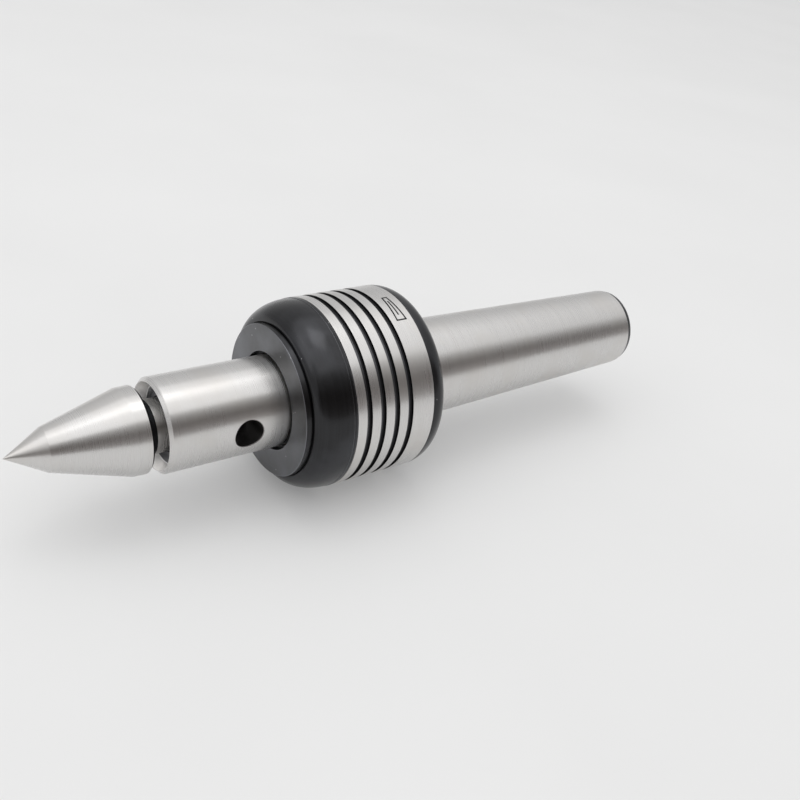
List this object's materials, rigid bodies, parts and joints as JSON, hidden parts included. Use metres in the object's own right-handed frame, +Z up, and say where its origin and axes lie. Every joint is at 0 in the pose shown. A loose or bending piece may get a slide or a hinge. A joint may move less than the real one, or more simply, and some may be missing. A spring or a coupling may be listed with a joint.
{
  "type": "live center",
  "caption": "Revolving lathe center: slim pointed insert in a bearing-mounted spindle, black front cap over a grooved steel barrel, long Morse taper shank.",
  "frame": {"origin": "on the axis of rotation, in the gauge plane of the Morse taper (diameter 44.399 mm)", "axes": "X is the axis of rotation: the point looks along -X and the taper shank along +X, into the tailstock. The drift hole runs along Y at rest. +Z is up."},
  "size_m": [0.3045, 0.0806, 0.0806],
  "materials": {
    "ground_steel": "turned and ground steel with fine lines round the axis, satin",
    "black_oxide": "black oxide on machined steel, semi-gloss",
    "bearing_steel": "polished bearing steel",
    "cage_brass": "machined brass, satin",
    "spring_steel": "blue-grey spring steel",
    "seal_rubber": "matte black rubber"
  },
  "bodies": {
    "housing": {"housing_shank": "ground_steel", "front_cap": "black_oxide", "cap_o_ring": "seal_rubber", "shaft_seal": "seal_rubber", "front_bearing_outer_race": "bearing_steel", "thrust_housing_washer": "bearing_steel", "disc_spring": "spring_steel", "rear_bearing_outer_race": "bearing_steel"},
    "spindle": {"spindle": "ground_steel", "front_bearing_inner_race": "bearing_steel", "thrust_shaft_washer": "bearing_steel", "rear_bearing_inner_race": "bearing_steel", "lock_washer": "spring_steel", "lock_nut": "black_oxide"},
    "point": {"interchangeable_point": "ground_steel"},
    "front_cage": {"front_bearing_cage": "cage_brass", "front_bearing_ball_01": "bearing_steel", "front_bearing_ball_02": "bearing_steel", "front_bearing_ball_03": "bearing_steel", "front_bearing_ball_04": "bearing_steel", "front_bearing_ball_05": "bearing_steel", "front_bearing_ball_06": "bearing_steel", "front_bearing_ball_07": "bearing_steel", "front_bearing_ball_08": "bearing_steel", "front_bearing_ball_09": "bearing_steel", "front_bearing_ball_10": "bearing_steel", "front_bearing_ball_11": "bearing_steel"},
    "thrust_cage": {"thrust_bearing_cage": "cage_brass", "thrust_bearing_ball_01": "bearing_steel", "thrust_bearing_ball_02": "bearing_steel", "thrust_bearing_ball_03": "bearing_steel", "thrust_bearing_ball_04": "bearing_steel", "thrust_bearing_ball_05": "bearing_steel", "thrust_bearing_ball_06": "bearing_steel", "thrust_bearing_ball_07": "bearing_steel", "thrust_bearing_ball_08": "bearing_steel", "thrust_bearing_ball_09": "bearing_steel", "thrust_bearing_ball_10": "bearing_steel", "thrust_bearing_ball_11": "bearing_steel", "thrust_bearing_ball_12": "bearing_steel"},
    "rear_cage": {"rear_bearing_cage": "cage_brass", "rear_bearing_ball_01": "bearing_steel", "rear_bearing_ball_02": "bearing_steel", "rear_bearing_ball_03": "bearing_steel", "rear_bearing_ball_04": "bearing_steel", "rear_bearing_ball_05": "bearing_steel", "rear_bearing_ball_06": "bearing_steel", "rear_bearing_ball_07": "bearing_steel", "rear_bearing_ball_08": "bearing_steel"}
  },
  "joints": [
    {"name": "spindle_spin", "type": "hinge", "parent": "housing", "child": "spindle", "pos_m": [-0.0603, 0, 0], "axis": [1, 0, 0], "continuous": true},
    {"name": "point_release", "type": "slide", "parent": "spindle", "child": "point", "axis": [-1, 0, 0], "range_m": [0, 0.03]},
    {"name": "front_cage_spin", "type": "hinge", "parent": "housing", "child": "front_cage", "pos_m": [-0.053, 0, 0], "axis": [1, 0, 0], "continuous": true},
    {"name": "thrust_cage_spin", "type": "hinge", "parent": "housing", "child": "thrust_cage", "pos_m": [-0.0367, 0, 0], "axis": [1, 0, 0], "continuous": true},
    {"name": "rear_cage_spin", "type": "hinge", "parent": "housing", "child": "rear_cage", "pos_m": [-0.0186, 0, 0], "axis": [1, 0, 0], "continuous": true}
  ],
  "couplings": [
    {"joint": "front_cage_spin", "follows": "spindle_spin", "ratio": 0.4181},
    {"joint": "thrust_cage_spin", "follows": "spindle_spin", "ratio": 0.5},
    {"joint": "rear_cage_spin", "follows": "spindle_spin", "ratio": 0.3815}
  ]
}
